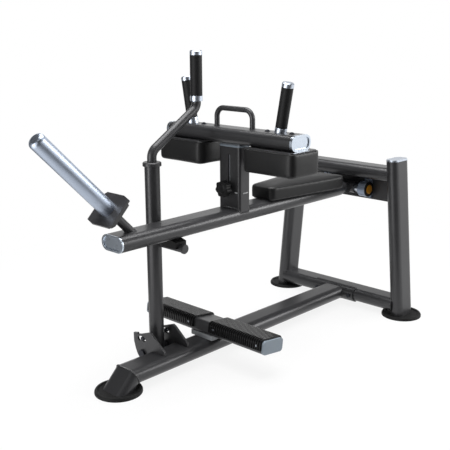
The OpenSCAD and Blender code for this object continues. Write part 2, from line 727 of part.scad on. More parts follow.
// Column
// Sleeve outline, width across the machine, drawn in by an inset
module sleeve_section(inset) translate([column_x, 0])
  rrect(sleeve_t - 2 * inset, sleeve_w - 2 * inset, sleeve_r - inset);
module column_sleeve() color([0.25, 0.25, 0.26])
  difference() {
    translate([0, 0, pivot_z]) linear_extrude(height = sleeve_top_z - pivot_z) difference() {
      sleeve_section(0);
      sleeve_section(sleeve_wall);
    }
    lever_shape(weld_gap);
    translate([column_x, 0, 0]) {
      translate([-sleeve_t, -slot_w / 2, slot_low_z + slot_w / 2]) cube([sleeve_t, slot_w, slot_top_z - slot_low_z - slot_w]);
      for (z = [slot_low_z + slot_w / 2, slot_top_z - slot_w / 2])
        translate([-sleeve_t, 0, z]) rotate([0, 90, 0]) cylinder(d = slot_w, h = sleeve_t);
    }
  }
module column_collar() color([0.6, 0.65, 0.72])
  translate([0, 0, sleeve_top_z]) linear_extrude(height = collar_h) difference() {
    sleeve_section(-collar_lip);
    sleeve_section(post_inset - pass_gap);
  }

// Seat
seat_a = seat_w_front / 2;
seat_b = seat_w_rear / 2;
module seat_plate() color([0.2, 0.2, 0.21])
  translate([0, 0, lever_top]) linear_extrude(height = seat_plate_t)
    polygon(outline(seat_x + plate_inset, seat_x + seat_len - plate_inset, seat_a - plate_inset, seat_b - plate_inset, 12, 0));
module seat_cushion() color([0.13, 0.13, 0.13])
  translate([0, 0, lever_top + seat_plate_t]) cushion(seat_x, seat_x + seat_len, seat_a, seat_b, seat_r, seat_h, seat_crown);

// Knee carriage
module inner_post() color([0.5, 0.52, 0.55])
  difference() {
    translate([0, 0, post_low_z]) linear_extrude(height = beam_low - post_low_z) difference() {
      sleeve_section(post_inset);
      sleeve_section(post_inset + post_wall);
    }
    translate([column_x - sleeve_t, 0, knob_z]) rotate([0, 90, 0]) cylinder(r = stud_d / 2 + bolt_gap, h = sleeve_t);
  }
beam_tube_len = beam_len - 2 * beam_cap_t;
module pad_bolt_places() for (s = [-1, 1]) for (t = [-1, 1])
  translate([column_x, s * pad_bolt_y + t * pad_bolt_gap / 2, beam_top]) children();
module beam_section(inset) rrect(beam_w - 2 * inset, tube_t - 2 * inset, beam_r - inset);
module knee_beam() color([0.25, 0.25, 0.26])
  difference() {
    translate([column_x, -beam_tube_len / 2, beam_z]) along_y() linear_extrude(height = beam_tube_len) difference() {
      beam_section(0);
      beam_section(tube_wall);
    }
    pad_bolt_places() translate([0, 0, -tube_t - 1]) cylinder(r = pad_bolt_d / 2 + bolt_gap, h = tube_t + 2);
  }
module knee_beam_caps() color([0.86, 0.9, 0.95])
  for (m = [0, 1]) mirror([0, m, 0])
    translate([column_x, beam_tube_len / 2, beam_z]) along_y() difference() {
      linear_extrude(height = beam_cap_t) beam_section(0);
      translate([0, 0, beam_cap_t - cap_recess]) linear_extrude(height = cap_recess + 1) beam_section(cap_rim);
    }
module knee_pad_plates() color([0.2, 0.2, 0.21])
  for (s = [-1, 1])
    difference() {
      translate([column_x + pad_dx, s * pad_y, pad_top]) linear_extrude(height = pad_plate_t)
        rrect(pad_depth - 2 * plate_inset, pad_len - 2 * plate_inset, 14);
      pad_bolt_places() translate([0, 0, -tube_t - pad_plate_t - 1]) cylinder(r = pad_bolt_d / 2 + bolt_gap, h = tube_t);
    }
module knee_pad(s) color([0.13, 0.13, 0.13])
  translate([column_x + pad_dx, s * pad_y, pad_top]) mirror([0, 0, 1])
    cushion(-pad_depth / 2, pad_depth / 2, pad_len / 2, pad_len / 2, pad_r, pad_h - pad_crown, pad_crown);
module knee_pad_left() knee_pad(-1);
module knee_pad_right() knee_pad(1);
module knee_pad_bolts() color([0.6, 0.62, 0.66])
  pad_bolt_places() mirror([0, 0, 1]) bolt(pad_bolt_d, tube_t + pad_plate_t - weld_gap, nut = false);
module lift_handle() color([0.55, 0.57, 0.6])
  translate([column_x, 0, beam_top]) rotate([0, 0, 90]) {
    for (s = [-1, 1]) translate([s * lift_y, 0, 0]) cylinder(d = lift_d, h = lift_h - lift_r);
    translate([lift_y - lift_r, 0, lift_h - lift_r]) bend(lift_r, lift_d, 0, 90);
    translate([lift_r - lift_y, 0, lift_h - lift_r]) bend(lift_r, lift_d, 90, 90);
    translate([lift_r - lift_y, 0, lift_h]) rotate([0, 90, 0]) cylinder(d = lift_d, h = 2 * (lift_y - lift_r));
  }
module at_handles() for (s = [-1, 1])
  translate([column_x, s * handle_y, beam_top]) rotate([-s * handle_lean, 0, 0]) children();
module knee_handle_tubes() color([0.3, 0.3, 0.32])
  intersection() {
    at_handles() translate([0, 0, -20]) cylinder(d = handle_d, h = handle_len + 12);
    slab(beam_top, big);
  }
module knee_handle_grips() color([0.09, 0.09, 0.09])
  at_handles() translate([0, 0, ring_h]) ring(grip_d, handle_d + 2 * weld_gap, grip_len);
module knee_handle_rings() color([0.8, 0.82, 0.86]) {
  intersection() {
    at_handles() translate([0, 0, -20]) ring(grip_d + 1, handle_d + 2 * weld_gap, ring_h + 20);
    slab(beam_top, big);
  }
  at_handles() translate([0, 0, ring_h + grip_len]) difference() {
    union() {
      cylinder(d = grip_d + 1, h = handle_len - ring_h - grip_len - 3);
      translate([0, 0, handle_len - ring_h - grip_len - 3]) cylinder(d1 = grip_d + 1, d2 = grip_d - 5, h = 3);
    }
    translate([0, 0, -30]) cylinder(d = handle_d + 2 * weld_gap, h = 30 + handle_len - 8 - ring_h - grip_len + 0.2);
  }
}

// Clamp knob
module at_knob() translate([column_x - sleeve_t / 2, 0, knob_z]) rotate([0, -90, 0]) children();
module clamp_knob() color([0.1, 0.1, 0.1])
  at_knob() difference() {
    union() {
      translate([0, 0, pass_gap]) cylinder(d = 24, h = knob_neck);
      translate([0, 0, knob_neck]) linear_extrude(height = knob_t) {
        circle(d = knob_d * 0.86);
        for (i = [0:knob_lobes - 1])
          rotate(i * 360 / knob_lobes) translate([knob_d * 0.35, 0]) circle(d = knob_d * 0.3);
      }
      translate([0, 0, knob_neck + knob_t]) cylinder(d1 = knob_d * 0.6, d2 = knob_d * 0.4, h = 3);
    }
    translate([0, 0, -1]) cylinder(r = stud_d / 2 + weld_gap, h = knob_neck + knob_t / 2 + 1);
  }
module clamp_stud() color([0.6, 0.62, 0.66])
  at_knob() translate([0, 0, -sleeve_wall - post_gap - post_wall - 6])
    cylinder(d = stud_d, h = sleeve_wall + post_gap + post_wall + 6 + knob_neck + knob_t / 2 - weld_gap);

// Catch that holds the lever up
module at_catch() translate([0, catch_y, catch_z]) children();
module catch_rod_path(r, x0, x1) translate([x0, 0, 0]) rotate([0, 90, 0]) cylinder(r = r, h = x1 - x0);
// Curved slot around the catch's pivot, as (y, z) points: far side, end, near side, end
function arc_points(cy, cz, r, a0, a1, n) = [for (i = [0:n]) let (a = a0 + (a1 - a0) * i / n) [cy + r * sin(a), cz + r * cos(a)]];
function slot_points(a0, a1) = concat(
  arc_points(0, 0, stop_rod_z + slot_r, a0, a1, 12),
  arc_points(stop_rod_z * sin(a1), stop_rod_z * cos(a1), slot_r, a1 + 15, a1 + 165, 10),
  arc_points(0, 0, stop_rod_z - slot_r, a1, a0, 12),
  arc_points(stop_rod_z * sin(a0), stop_rod_z * cos(a0), slot_r, a0 + 195, a0 + 345, 10));
// Outer edge of a bracket plate from the pivot, as parts of its height
ear = [[-0.585, 0.939], [-0.439, 1], [0.146, 0.78], [0.268, 0.756], [0.305, 0.805],
  [0.537, 0.756], [0.524, 0.402], [0.439, 0.122], [0.329, -0.11], [0.183, -0.268]];
module catch_plates() color([0.3, 0.3, 0.32])
  for (s = [-1, 1])
    difference() {
      translate([catch_mid + s * cheek_gap / 2 - cheek_plate_t / 2, 0, 0]) rotate([90, 0, 90]) linear_extrude(height = cheek_plate_t)
        polygon(concat([[-round_y, base_top], [-round_y, base_top + ear_end]], [for (p = ear) [catch_y + ear_h * p[0], catch_z + ear_h * p[1]]],
          [[tube_w / 2 - 8, catch_z + ear_h * ear[9][1]], [0, base_z], [-round_y, base_z]]));
      translate([catch_mid - cheek_gap, 0, base_z]) along_x() linear_extrude(height = 2 * cheek_gap) oval(tube_w + 2 * weld_gap, tube_t + 2 * weld_gap);
      translate([catch_mid + s * cheek_gap / 2 - cheek_plate_t / 2 - 1, 0, 0]) at_catch() {
        rotate([90, 0, 90]) linear_extrude(height = cheek_plate_t + 2) polygon(slot_points(-10, catch_swing));
        rotate([0, 90, 0]) cylinder(r = catch_bolt_d / 2 + bolt_gap, h = cheek_plate_t + 2);
      }
    }
cheek_out = cheek_gap / 2 + cheek_plate_t / 2;
cheek_inn = cheek_gap / 2 - cheek_plate_t / 2;
module catch_pivot_bolt() color([0.7, 0.72, 0.76])
  translate([catch_mid, 0, 0]) at_catch() {
    catch_rod_path(catch_bolt_d / 2, -cheek_out - 1, cheek_out + 1);
    catch_rod_path(catch_bolt_d / 2 + 5, -cheek_out - 7, -cheek_out);
    catch_rod_path(catch_bolt_d / 2 + 5, cheek_out, cheek_out + 7);
  }
module catch_post() color([0.25, 0.25, 0.26])
  difference() {
    union() {
      translate([catch_x, catch_y, catch_z]) ring(catch_d, catch_d - 2 * catch_wall, catch_top_z - catch_z);
      translate([catch_mid, 0, 0]) at_catch() catch_rod_path(barrel_d / 2, -cheek_inn + pass_gap, cheek_inn - pass_gap);
    }
    translate([catch_mid, 0, 0]) at_catch() catch_rod_path(catch_bolt_d / 2 + shaft_fit, -cheek_gap, cheek_gap);
    translate([catch_mid, 0, stop_rod_z]) at_catch() catch_rod_path(stop_rod_d / 2 + weld_gap, -cheek_gap, cheek_gap);
  }
module catch_stop_rod() color([0.5, 0.52, 0.55])
  translate([catch_mid, 0, stop_rod_z]) at_catch() catch_rod_path(stop_rod_d / 2, -cheek_out - 1, cheek_out + 1);
turn = 90 - catch_slant;
lead = catch_bend * tan(turn / 2);
high_z = catch_grip_z - lead - 2;
low_z = high_z - catch_reach * tan(catch_slant);
// Length of the short sleeves that join the straight and bent runs of the handle
joint_l = 1.2;
module run(x, z, a, l) translate([x, 0, z]) rotate([0, a, 0]) {
  translate([0, 0, 0.2]) cylinder(d = catch_rod_d, h = l - 0.4);
  for (t = [0, l]) translate([0, 0, t - joint_l / 2]) cylinder(d = catch_rod_d + 0.2, h = joint_l);
}
module catch_handle_tube() color([0.3, 0.3, 0.32])
  translate([catch_x, catch_y, 0]) {
    run(0, catch_top_z, 0, low_z - lead - catch_top_z);
    translate([catch_bend, 0, low_z - lead]) bend(catch_bend, catch_rod_d, 180 - turn + 0.3, turn - 0.6);
    run(lead * cos(catch_slant), low_z + lead * sin(catch_slant), turn, catch_reach / cos(catch_slant) - 2 * lead);
    translate([catch_reach - catch_bend, 0, high_z + lead]) bend(catch_bend, catch_rod_d, 0.3 - turn, turn - 0.6);
    run(catch_reach, high_z + lead, 0, 2 + ring_h + catch_grip_len + 6);
  }
module catch_collar() color([0.35, 0.35, 0.37])
  translate([catch_x, catch_y, catch_top_z]) difference() {
    union() {
      cylinder(d = catch_collar_d, h = catch_collar_h - 3);
      translate([0, 0, catch_collar_h - 3]) cylinder(d1 = catch_collar_d, d2 = catch_collar_d - 6, h = 3);
    }
    translate([0, 0, -1]) cylinder(d = catch_rod_d + 4 * weld_gap, h = catch_collar_h + 2);
  }
module at_grip(z) translate([catch_x + catch_reach, catch_y, catch_grip_z + z]) children();
module catch_grip() color([0.09, 0.09, 0.09])
  at_grip(ring_h) ring(catch_grip_d, catch_rod_d + 4 * weld_gap, catch_grip_len);
module catch_grip_rings() color([0.8, 0.82, 0.86]) {
  at_grip(0) ring(catch_grip_d + 1, catch_rod_d + 4 * weld_gap, ring_h);
  at_grip(ring_h + catch_grip_len) difference() {
    union() {
      cylinder(d = catch_grip_d + 1, h = 12);
      translate([0, 0, 12]) cylinder(d1 = catch_grip_d + 1, d2 = catch_grip_d - 5, h = 3);
    }
    translate([0, 0, -1]) cylinder(d = catch_rod_d + 4 * weld_gap, h = 8);
  }
}
peg_x = catch_x + peg_dx;
peg_body_d = peg_d - 2 * peg_c;
module catch_peg() color([0.35, 0.35, 0.37])
  difference() {
    translate([peg_x, catch_y, peg_z]) rotate([90, 0, 0]) {
      cylinder(d = peg_body_d, h = catch_y + peg_reach - peg_cap_t + 1);
      translate([0, 0, catch_y + peg_reach - peg_cap_t]) {
        cylinder(d = peg_d, h = peg_cap_t - peg_c);
        translate([0, 0, peg_cap_t - peg_c]) cylinder(d1 = peg_d, d2 = peg_d - 2 * peg_c, h = peg_c);
      }
    }
    translate([catch_x, catch_y, 0]) cylinder(d = catch_d + 2 * weld_gap, h = big);
  }
// The rest pad's top is a cylinder around the catch's pivot, so it slides out from under the lever
module catch_rest_pad() color([0.1, 0.1, 0.1])
  intersection() {
    translate([peg_x - rest_l / 2, -rest_near_y, peg_z]) cube([rest_l, rest_near_y + rest_far_y, 60]);
    difference() {
      translate([peg_x - rest_l, 0, 0]) at_catch() rotate([0, 90, 0]) cylinder(r = cam_r, h = 2 * rest_l, $fn = 720);
      translate([peg_x, catch_y, peg_z]) rotate([90, 0, 0]) cylinder(d = peg_body_d + 2 * weld_gap, h = catch_y + peg_reach);
    }
  }

place() rubber_feet();
place() base_spine_tube();
place() front_leg_tube();
place() rear_leg_left();
place() rear_leg_right();
place() rear_leg_caps();
place() lower_cross_tube();
place() upper_cross_beam();
place() pivot_plate();
place() saddle_bracket();
place() saddle_bolts();
place() foot_bar_tube();
place() foot_bar_saddle();
place() foot_bar_end_caps();
place() foot_tread_left();
place() foot_tread_right();
place() tread_rivets();
place() bearing_blocks();
place() bearing_inserts();
place() bearing_seal_rings();
place() bearing_covers();
place() bearing_bolts();
place() catch_plates();
place() catch_pivot_bolt();
place() lever_tube();
place() lever_end_rim();
place() lever_end_panel();
place() lever_hub();
place() pivot_spacers();
place() pivot_shaft();
place() horn_stub();
place() horn_stop_base();
place() horn_stop_plate();
place() weight_horn();
place() column_sleeve();
place() column_collar();
place() seat_plate();
place() seat_cushion();
place() inner_post();
place() knee_beam();
place() knee_beam_caps();
place() knee_pad_plates();
place() knee_pad_left();
place() knee_pad_right();
place() knee_pad_bolts();
place() lift_handle();
place() knee_handle_tubes();
place() knee_handle_grips();
place() knee_handle_rings();
place() clamp_knob();
place() clamp_stud();
place() catch_post();
place() catch_stop_rod();
place() catch_collar();
place() catch_handle_tube();
place() catch_grip();
place() catch_grip_rings();
place() catch_peg();
place() catch_rest_pad();
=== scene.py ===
# Seated calf raise machine, dressed in metres in the frame of the CAD model:
# -X is the front with the weight horn, +Y the side of the catch, +Z up.
from math import cos, pi, radians, sin

import bmesh
import bpy
from mathutils import Matrix, Vector


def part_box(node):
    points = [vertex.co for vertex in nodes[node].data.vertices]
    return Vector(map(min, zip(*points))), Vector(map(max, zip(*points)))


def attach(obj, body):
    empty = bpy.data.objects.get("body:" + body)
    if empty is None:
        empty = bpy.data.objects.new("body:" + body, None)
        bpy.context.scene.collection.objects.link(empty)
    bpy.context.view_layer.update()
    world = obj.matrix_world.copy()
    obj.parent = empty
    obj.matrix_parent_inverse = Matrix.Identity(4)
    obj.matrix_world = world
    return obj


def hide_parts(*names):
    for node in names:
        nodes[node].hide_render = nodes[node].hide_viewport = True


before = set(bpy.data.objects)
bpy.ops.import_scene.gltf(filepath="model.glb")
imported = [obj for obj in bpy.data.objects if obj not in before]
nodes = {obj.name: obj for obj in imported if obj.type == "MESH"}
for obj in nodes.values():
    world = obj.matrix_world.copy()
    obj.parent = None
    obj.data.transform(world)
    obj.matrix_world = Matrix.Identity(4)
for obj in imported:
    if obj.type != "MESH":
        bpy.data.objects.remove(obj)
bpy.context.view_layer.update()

# Places that the CAD model gives
spine_low, spine_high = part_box("base_spine_tube")
lever_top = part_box("lever_tube")[1].z
beam_low, beam_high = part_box("knee_beam")
sleeve_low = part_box("column_sleeve")[0]
post_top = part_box("inner_post")[1].z
column_x = (beam_low.x + beam_high.x) / 2


# Camera: the photograph's own place, direction and lens
PHOTO_PIXELS = 450
FOCAL_PIXELS = 781.59
LENS_AXIS = (225.57, 225.07)
SENSOR = 36
CAMERA_PLACE = (-1.8606, -1.7690, 1.0989)
CAMERA_TURN = radians(43.77)
CAMERA_TILT = radians(14.45)
CAMERA_ROLL = radians(-0.27)


def stand_camera():
    """Stands the camera where the photograph was taken, and frames it in the same way."""
    level = Vector((cos(CAMERA_TURN), sin(CAMERA_TURN), 0))
    side = Vector((sin(CAMERA_TURN), -cos(CAMERA_TURN), 0))
    ahead = level * cos(CAMERA_TILT) - Vector((0, 0, sin(CAMERA_TILT)))
    up = Vector((0, 0, cos(CAMERA_TILT))) + level * sin(CAMERA_TILT)
    right = side * cos(CAMERA_ROLL) + up * sin(CAMERA_ROLL)
    top = up * cos(CAMERA_ROLL) - side * sin(CAMERA_ROLL)
    data = bpy.data.cameras.new("camera")
    data.sensor_width = SENSOR
    data.lens = SENSOR * FOCAL_PIXELS / PHOTO_PIXELS
    data.shift_x = (PHOTO_PIXELS / 2 - LENS_AXIS[0]) / PHOTO_PIXELS
    data.shift_y = (LENS_AXIS[1] - PHOTO_PIXELS / 2) / PHOTO_PIXELS
    data.clip_end = 100
    camera = bpy.data.objects.new("camera", data)
    turned = Matrix((right, top, -ahead)).transposed().to_4x4()
    camera.matrix_world = Matrix.Translation(CAMERA_PLACE) @ turned
    bpy.context.scene.collection.objects.link(camera)
    bpy.context.scene.camera = camera


stand_camera()


# Materials

def linear(colour):
    """Linear colour of an sRGB hex value."""
    parts = [int(colour[i:i + 2], 16) / 255 for i in (1, 3, 5)]
    return [c / 12.92 if c < 0.04045 else ((c + 0.055) / 1.055) ** 2.4 for c in parts] + [1]


def put(tree, kind, inputs, **settings):
    """Adds a node with its settings. An input takes a value or another node's output."""
    node = tree.nodes.new(kind)
    for name, value in settings.items():
        setattr(node, name, value)
    for name, value in inputs.items():
        if isinstance(value, bpy.types.NodeSocket):
            tree.links.new(value, node.inputs[name])
        else:
            node.inputs[name].default_value = value
    return node


def finish(name, tones, patch, rough, grain, depth, cells=False, **sockets):
    """A finish of two tones in patches, with its roughness range and a bump of that grain and depth.

    Lengths are in millimetres. Cells gives pebbles instead of noise. The other values go on the
    shader's own sockets.
    """
    made = bpy.data.materials.new(name)
    made.use_nodes = True
    tree = made.node_tree
    shader = tree.nodes["Principled BSDF"]
    for socket, value in sockets.items():
        shader.inputs[socket.replace("_", " ")].default_value = value
    place = put(tree, "ShaderNodeTexCoord", {}).outputs["Object"]
    cloud = put(tree, "ShaderNodeTexNoise",
                {"Vector": place, "Scale": 1000 / patch, "Detail": 3, "Roughness": 0.6})
    mixed = put(tree, "ShaderNodeMix",
                {"Factor": cloud.outputs["Fac"], "A": linear(tones[0]), "B": linear(tones[1])},
                data_type="RGBA")
    tree.links.new(mixed.outputs[2], shader.inputs["Base Color"])
    fine = put(tree, "ShaderNodeTexNoise",
               {"Vector": place, "Scale": 1000 / grain, "Detail": 2, "Roughness": 0.5})
    gloss = put(tree, "ShaderNodeMapRange", {
        "Value": fine.outputs["Fac"], "From Min": 0.3, "From Max": 0.7,
        "To Min": rough[0], "To Max": rough[1],
    })
    tree.links.new(gloss.outputs["Result"], shader.inputs["Roughness"])
    height = fine.outputs["Fac"]
    if cells:
        height = put(tree, "ShaderNodeTexVoronoi", {"Vector": place, "Scale": 1000 / grain},
                     feature="SMOOTH_F1").outputs["Distance"]
    bump = put(tree, "ShaderNodeBump", {"Height": height, "Strength": 1, "Distance": depth / 1000})
    tree.links.new(bump.outputs["Normal"], shader.inputs["Normal"])
    return made


def paint_shade_in_gaps(dress, reach=0.006, gloss=0.4):
    """Paints shade into gaps of about that reach in metres by taking out their gloss where ambient
    occlusion is low, and leaves that much gloss on open faces.
    """
    tree = dress.node_tree
    open_sky = put(tree, "ShaderNodeAmbientOcclusion", {"Distance": reach}).outputs["AO"]
    left = put(tree, "ShaderNodeMapRange",
               {"Value": open_sky, "From Min": 0.62, "From Max": 0.92, "To Max": gloss})
    for socket in ("Specular IOR Level", "Coat Weight"):
        tree.links.new(left.outputs["Result"], tree.nodes["Principled BSDF"].inputs[socket])


# Polyester powder coat with aluminium flake, baked on steel tube: a dark neutral grey, satin, with
# a nearly flat orange peel of 3 mm and a clear top film that brightens at a low angle.
powder_coat = finish("powder_coat_charcoal", ("#3b3b3d", "#424244"), 60, (0.35, 0.39), 3, 0.002,
                     Metallic=0.3, Coat_Weight=0.25, Coat_Roughness=0.26)

# The same coat on laser-cut plate and bent rod: a little paler and rougher.
plate_coat = finish("powder_coat_plate", ("#3f3f41", "#48484a"), 40, (0.36, 0.44), 2.5, 0.006,
                    Metallic=0.3, Coat_Weight=0.2, Coat_Roughness=0.3)

# Light grey powder coat on the small saddle under the foot bar: pale, satin.
light_coat = finish("powder_coat_light", ("#a9acb0", "#b7babd"), 30, (0.35, 0.45), 2.5, 0.02)

# Pressed steel tread in black coat: nearly black and smooth, with patches of 9 mm that shoes have
# rubbed a little paler. The gaps between its ribs get painted shade: ambient occlusion takes out their
# gloss.
tread_coat = finish("tread_black_coat", ("#161617", "#202021"), 9, (0.26, 0.34), 2, 0.01, Metallic=0.2)
paint_shade_in_gaps(tread_coat)

# Vulcanised rubber, moulded: nearly black, dull, with a grain of 1 mm.
rubber = finish("moulded_rubber", ("#121213", "#191919"), 25, (0.55, 0.7), 1, 0.04,
                Specular_IOR_Level=0.3)

# Rubber grip sleeve, ground to size: black with a soft sheen and a pebble of 1.2 mm.
grip_rubber = finish("grip_rubber", ("#161617", "#1d1d1e"), 20, (0.5, 0.6), 1.2, 0.05, cells=True,
                     Specular_IOR_Level=0.3)

# Coated upholstery fabric, embossed as leather: dull black pebbles of about 1 mm, drawn at 1.6 mm
# so that they show.
leather = finish("embossed_vinyl_leather", ("#131314", "#1a1a1b"), 45, (0.4, 0.48), 1.6, 0.06,
                 cells=True, Specular_IOR_Level=0.38)

# Zinc-plated fasteners: bright, cool grey with a fine tumbled grain, drawn at 1 mm so that it shows.
zinc = finish("zinc_plate", ("#a7adb6", "#c3c8cf"), 4, (0.26, 0.38), 1, 0.02, Metallic=1)

# Black-oxide socket screws: blue-black, oily satin.
black_oxide = finish("black_oxide_steel", ("#24252b", "#33353d"), 5, (0.3, 0.42), 1, 0.02, Metallic=0.6)

# Satin-plated steel pipe, polished while it turned: pale blue grey, with a cloud of 30 mm in its
# gloss and hardly any relief.
horn_plate = finish("satin_plated_pipe", ("#b4bfd0", "#bcc6d6"), 60, (0.36, 0.42), 30, 0.0005,
                    Metallic=1)

# Die-cast housing in silver-blue paint: soft cast grain of 2 mm.
cast_silver = finish("cast_housing_silver", ("#8f9cb0", "#a8b3c4"), 14, (0.3, 0.42), 2, 0.06,
                     Metallic=0.65)

# Ground bearing steel: pale and nearly polished, with a fine grain drawn at 0.8 mm.
ground_steel = finish("ground_steel", ("#b9bdc2", "#ced2d6"), 6, (0.18, 0.26), 0.8, 0.01, Metallic=1)

# Injection-moulded ABS bearing cover: orange, smooth gloss.
orange_abs = finish("moulded_abs_orange", ("#e0941a", "#eca42c"), 12, (0.28, 0.36), 1.5, 0.01)

# Nitrile lip seal, moulded: black, soft.
seal_rubber = finish("nitrile_seal", ("#0e0e0f", "#161617"), 8, (0.45, 0.6), 1, 0.02)

# Chromed ring or cap, buffed to satin: pale blue silver with a faint cloud of 12 mm.
chrome = finish("buffed_chrome", ("#c6cedb", "#d0d8e3"), 15, (0.3, 0.34), 12, 0.0002, Metallic=1)

# Silver-blue ABS end cap, moulded: even, soft gloss.
blue_cap = finish("moulded_abs_silver_blue", ("#93a0ac", "#9faab5"), 20, (0.32, 0.42), 1.2, 0.015)

# Nickel-plated ABS end cap: pale blue silver, satin, with a faint cloud of 12 mm.
plated_cap = finish("nickel_plated_abs", ("#cdd7e3", "#d6dfea"), 20, (0.27, 0.31), 12, 0.0002,
                    Metallic=1)

# Zinc-plated drawn square post in the sleeve: dull pale grey, with a grain of 1 mm.
drawn_zinc = finish("drawn_zinc_post", ("#8e9196", "#a0a3a8"), 12, (0.35, 0.45), 1, 0.01, Metallic=0.8)

# Glass-filled nylon knob: black, dull, with a moulding grain of 1 mm.
nylon = finish("moulded_nylon_black", ("#0c0c0d", "#131314"), 9, (0.42, 0.55), 1, 0.03,
               Specular_IOR_Level=0.3)

# Pale enamel of the index marks, brushed on: nearly white, dull.
mark_paint = finish("mark_enamel", ("#cfd1d3", "#dcdedf"), 3, (0.4, 0.5), 1, 0.02)

DRESS = {
    powder_coat: (
        "base_spine_tube", "front_leg_tube", "rear_leg_left", "rear_leg_right", "lower_cross_tube",
        "upper_cross_beam", "foot_bar_tube", "lever_tube", "horn_stub", "column_sleeve", "knee_beam",
        "catch_post", "saddle_bracket", "pivot_plate",
    ),
    plate_coat: (
        "lever_hub", "horn_stop_base", "horn_stop_plate", "seat_plate", "knee_pad_plates",
        "lift_handle", "knee_handle_tubes", "catch_plates", "catch_collar", "catch_handle_tube",
        "catch_peg",
    ),
    light_coat: ("foot_bar_saddle",),
    tread_coat: ("foot_tread_left", "foot_tread_right"),
    rubber: ("rubber_feet", "catch_rest_pad"),
    grip_rubber: ("knee_handle_grips", "catch_grip"),
    leather: ("seat_cushion", "knee_pad_left", "knee_pad_right"),
    zinc: ("tread_rivets", "bearing_bolts", "pivot_spacers", "clamp_stud"),
    black_oxide: ("knee_pad_bolts", "saddle_bolts", "catch_pivot_bolt", "catch_stop_rod"),
    horn_plate: ("weight_horn",),
    cast_silver: ("bearing_blocks",),
    ground_steel: ("bearing_inserts", "pivot_shaft"),
    orange_abs: ("bearing_covers",),
    seal_rubber: ("bearing_seal_rings",),
    chrome: ("rear_leg_caps", "knee_handle_rings", "catch_grip_rings"),
    blue_cap: ("foot_bar_end_caps", "column_collar"),
    plated_cap: ("knee_beam_caps", "lever_end_rim", "lever_end_panel"),
    drawn_zinc: ("inner_post",),
    nylon: ("clamp_knob",),
}
for dress, names in DRESS.items():
    for name in names:
        for place in nodes[name].material_slots:
            place.material = dress


# Edges of the CAD nodes
SHARP = radians(38)

# Width of each node's rounded edges, in millimetres
SOFT_EDGES = {
    "pivot_plate": 0.8, "horn_stop_base": 1.2, "horn_stop_plate": 1.2, "catch_plates": 1,
    "seat_plate": 0.6, "knee_pad_plates": 0.6, "knee_beam_caps": 0.4, "lever_end_rim": 0.8,
    "rear_leg_caps": 1.2, "foot_bar_end_caps": 1.5, "column_collar": 1, "foot_bar_saddle": 1,
    "bearing_blocks": 1, "bearing_covers": 0.6, "rubber_feet": 1, "catch_rest_pad": 1.2,
    "clamp_knob": 1, "catch_collar": 0.8, "catch_peg": 0.8, "catch_grip_rings": 0.6,
    "knee_handle_rings": 0.6, "lever_end_panel": 0.3, "foot_tread_left": 0.5,
    "foot_tread_right": 0.5, "catch_grip": 1, "knee_handle_grips": 1, "saddle_bracket": 0.6,
}


def soften(name, width):
    """Rounds a CAD node's sharp edges by that width in millimetres, with modifiers only."""
    node = nodes[name]
    node.modifiers.new("joined", "WELD").merge_threshold = 0.00001
    edge = node.modifiers.new("edges", "BEVEL")
    edge.width = width / 1000
    edge.segments = 2
    edge.limit_method = "ANGLE"
    edge.angle_limit = SHARP
    edge.use_clamp_overlap = True
    even = node.modifiers.new("even", "WEIGHTED_NORMAL")
    even.keep_sharp = False


for name, width in SOFT_EDGES.items():
    soften(name, width)


# New pieces

def piece(name, mesh, body, dress):
    """An object from a bmesh, in its place in the mesh, on its body and with its finish."""
    data = bpy.data.meshes.new(name)
    mesh.to_mesh(data)
    mesh.free()
    data.shade_smooth()
    data.set_sharp_from_angle(angle=radians(35))
    made = bpy.data.objects.new(name, data)
    bpy.context.scene.collection.objects.link(made)
    data.materials.append(dress)
    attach(made, body)
    return made


def whole(name):
    """A bmesh of a CAD node with its loose triangles joined."""
    mesh = bmesh.new()
    mesh.from_mesh(nodes[name].data)
    bmesh.ops.remove_doubles(mesh, verts=mesh.verts, dist=0.00002)
    return mesh


# Welds
BEAD_STEP = 0.0012
RIPPLE = (1, 0.82)


def rims(name, test):
    """Sharp outlines of a CAD node whose points pass the test, the longest first."""
    mesh = whole(name)
    sharp = [e for e in mesh.edges if len(e.link_faces) == 2 and e.calc_face_angle() > 0.45
             and all(test(v.co) for v in e.verts)]
    ways = {}
    for edge in sharp:
        for a in edge.verts:
            ways.setdefault(a, []).append(edge.other_vert(a))
    outlines = []
    while ways:
        at = next(iter(ways))
        line = []
        while at in ways:
            line.append(at.co.copy())
            onward = [v for v in ways.pop(at) if v in ways]
            if not onward:
                break
            at = onward[0]
        outlines.append(line)
    mesh.free()
    return sorted(outlines, key=lambda p: -sum((p[i] - p[i - 1]).length for i in range(len(p))))


def paced(points, step, closed):
    """The same line with points one step apart."""
    ring = points + points[:1] if closed else points
    lengths = [(b - a).length for a, b in zip(ring, ring[1:])]
    count = max(4, round(sum(lengths) / step / 2) * 2)
    walk, leg, done = [], 0, 0
    for i in range(count if closed else count + 1):
        goal = sum(lengths) * i / count
        while leg < len(lengths) - 1 and done + lengths[leg] < goal:
            done += lengths[leg]
            leg += 1
        walk.append(ring[leg].lerp(ring[leg + 1], min(1, (goal - done) / max(lengths[leg], 1e-9))))
    return walk


